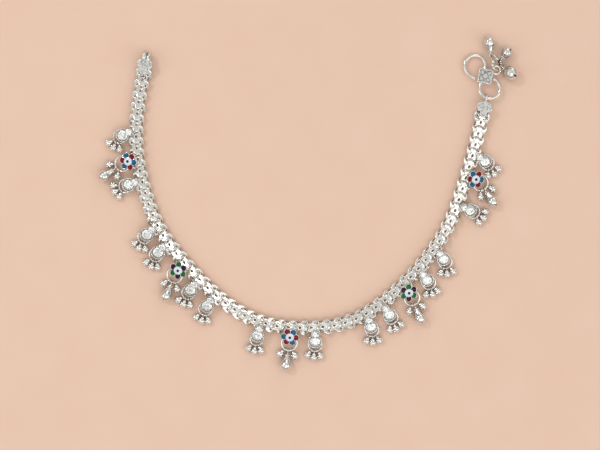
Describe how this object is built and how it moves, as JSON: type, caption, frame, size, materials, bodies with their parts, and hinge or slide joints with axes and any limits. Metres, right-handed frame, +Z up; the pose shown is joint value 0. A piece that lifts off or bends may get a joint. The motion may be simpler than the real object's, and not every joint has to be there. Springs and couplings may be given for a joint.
{
  "type": "payal anklet",
  "caption": "Flat three-row silver chain anklet lying open, with an S hook clasp, small bells, embossed disc pendants and enamelled flower pendants.",
  "frame": {"origin": "middle of the footprint of the whole anklet, on the cloth it lies on", "axes": "+Z up from the cloth, +X from the looped end towards the hooked end, +Y towards the open mouth of the U"},
  "size_m": [0.1545, 0.123, 0.0054],
  "materials": {
    "silver_rings": "polished silver wire",
    "polished_silver": "polished silver",
    "cast_silver": "embossed cast silver",
    "enamel_teal_red": "glossy teal and dark red enamel on silver",
    "enamel_green_plum": "glossy green and dark plum enamel on silver"
  },
  "bodies": {
    "root": {"bell_link": "polished_silver", "bell_ring": "polished_silver", "cap_left": "cast_silver", "cap_right": "cast_silver", "chain_left": "silver_rings", "chain_right": "silver_rings", "clasp_bell_1": "polished_silver", "clasp_bell_2": "polished_silver", "clasp_bell_3": "polished_silver", "flower_bell_1": "polished_silver", "flower_bell_2": "polished_silver", "flower_bell_3": "polished_silver", "flower_bell_4": "polished_silver", "flower_bell_5": "polished_silver", "flower_drops_1": "polished_silver", "flower_drops_2": "polished_silver", "flower_drops_3": "polished_silver", "flower_drops_4": "polished_silver", "flower_drops_5": "polished_silver", "flower_pendant_1": "enamel_teal_red", "flower_pendant_2": "enamel_green_plum", "flower_pendant_3": "enamel_teal_red", "flower_pendant_4": "enamel_green_plum", "flower_pendant_5": "enamel_teal_red", "plain_drops_01": "polished_silver", "plain_drops_02": "polished_silver", "plain_drops_03": "polished_silver", "plain_drops_04": "polished_silver", "plain_drops_05": "polished_silver", "plain_drops_06": "polished_silver", "plain_drops_07": "polished_silver", "plain_drops_08": "polished_silver", "plain_drops_09": "polished_silver", "plain_drops_10": "polished_silver", "plain_drops_11": "polished_silver", "plain_drops_12": "polished_silver", "plain_drops_13": "polished_silver", "plain_drops_14": "polished_silver", "plain_pendant_01": "cast_silver", "plain_pendant_02": "cast_silver", "plain_pendant_03": "cast_silver", "plain_pendant_04": "cast_silver", "plain_pendant_05": "cast_silver", "plain_pendant_06": "cast_silver", "plain_pendant_07": "cast_silver", "plain_pendant_08": "cast_silver", "plain_pendant_09": "cast_silver", "plain_pendant_10": "cast_silver", "plain_pendant_11": "cast_silver", "plain_pendant_12": "cast_silver", "plain_pendant_13": "cast_silver", "plain_pendant_14": "cast_silver", "s_hook": "polished_silver"}
  },
  "joints": []
}
